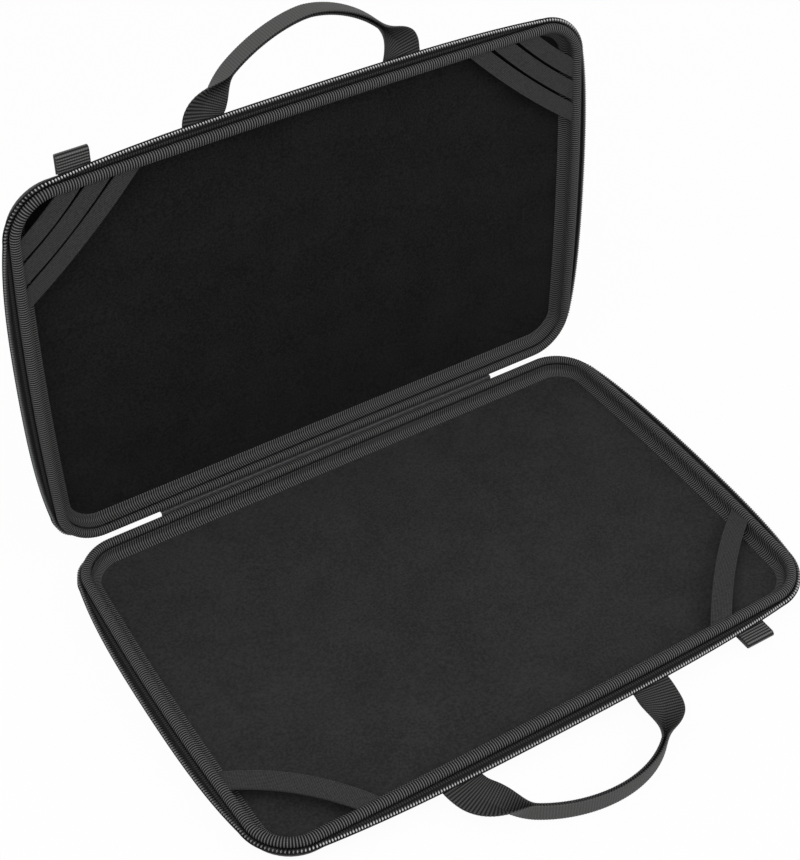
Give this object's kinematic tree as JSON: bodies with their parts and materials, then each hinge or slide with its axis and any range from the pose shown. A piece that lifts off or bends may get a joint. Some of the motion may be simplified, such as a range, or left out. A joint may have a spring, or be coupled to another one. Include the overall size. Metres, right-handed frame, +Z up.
{
  "type": "laptop hard case",
  "caption": "Moulded laptop case of two foam trays on a cloth spine, with a zip round three sides, webbing handles, base straps and lid corner strips.",
  "frame": {"origin": "middle of the base's underside, below the middle of the base's outline", "axes": "+X to the user's right along the spine, +Y from the front edge to the spine, +Z up from the surface that the base lies on; the lid stands open"},
  "size_m": [0.41, 0.3536, 0.3409],
  "materials": {
    "shell_cloth": "woven nylon laminated on moulded foam, matt",
    "foam": "closed-cell EVA foam",
    "lining_cloth": "soft knitted lining",
    "binding_cloth": "ribbed binding tape",
    "zip_tape": "woven polyester tape",
    "zip_teeth": "black nylon coil",
    "elastic": "ribbed elastic",
    "webbing": "woven polyester webbing",
    "spine_cloth": "woven nylon",
    "zip_metal": "black enamelled zinc"
  },
  "bodies": {
    "base": {"base_cover": "shell_cloth", "base_core": "foam", "base_lining": "lining_cloth", "base_binding": "binding_cloth", "base_zip_tape": "zip_tape", "base_zip_teeth": "zip_teeth", "base_strap_left": "elastic", "base_strap_right": "elastic", "base_tab": "webbing", "spine_cloth": "spine_cloth", "zip_stop_left": "zip_metal", "zip_stop_right": "zip_metal"},
    "lid": {"lid_cover": "shell_cloth", "lid_core": "foam", "lid_lining": "lining_cloth", "lid_binding": "binding_cloth", "lid_zip_tape": "zip_tape", "lid_zip_teeth": "zip_teeth", "lid_strip_left_1": "elastic", "lid_strip_left_2": "elastic", "lid_strip_left_3": "elastic", "lid_strip_right_1": "elastic", "lid_strip_right_2": "elastic", "lid_strip_right_3": "elastic", "lid_tab": "webbing"},
    "base_handle": {"base_handle": "webbing"},
    "lid_handle": {"lid_handle": "webbing"},
    "slider_left": {"slider_left": "zip_metal"},
    "slider_right": {"slider_right": "zip_metal"},
    "pull_left": {"pull_left": "zip_metal"},
    "pull_right": {"pull_right": "zip_metal"}
  },
  "joints": [
    {"name": "lid_hinge", "type": "hinge", "parent": "base", "child": "lid", "pos_m": [0, 0.1316, 0.0186], "axis": [1, 0, 0], "range_deg": [-37.4, 92.6], "deforming": ["spine_cloth"]},
    {"name": "base_handle_flop", "type": "hinge", "parent": "base", "child": "base_handle", "pos_m": [-0.0085, -0.1354, 0.01085], "axis": [1, 0, 0], "range_deg": [0, 60]},
    {"name": "lid_handle_flop", "type": "hinge", "parent": "lid", "child": "lid_handle", "pos_m": [-0.0035, 0.15145, 0.28497], "axis": [1, 0, 0], "range_deg": [-60, 0]},
    {"name": "slider_left_run", "type": "slide", "parent": "base", "child": "slider_left", "axis": [-1, 0, 0], "range_m": [0, 0.022]},
    {"name": "slider_right_run", "type": "slide", "parent": "base", "child": "slider_right", "axis": [1, 0, 0], "range_m": [0, 0.022]},
    {"name": "pull_left_swing", "type": "hinge", "parent": "slider_left", "child": "pull_left", "pos_m": [-0.1373, 0.13645, 0.00662], "axis": [0, 0, 1], "range_deg": [0, 180]},
    {"name": "pull_right_swing", "type": "hinge", "parent": "slider_right", "child": "pull_right", "pos_m": [0.1373, 0.13645, 0.00662], "axis": [0, 0, -1], "range_deg": [0, 180]}
  ]
}
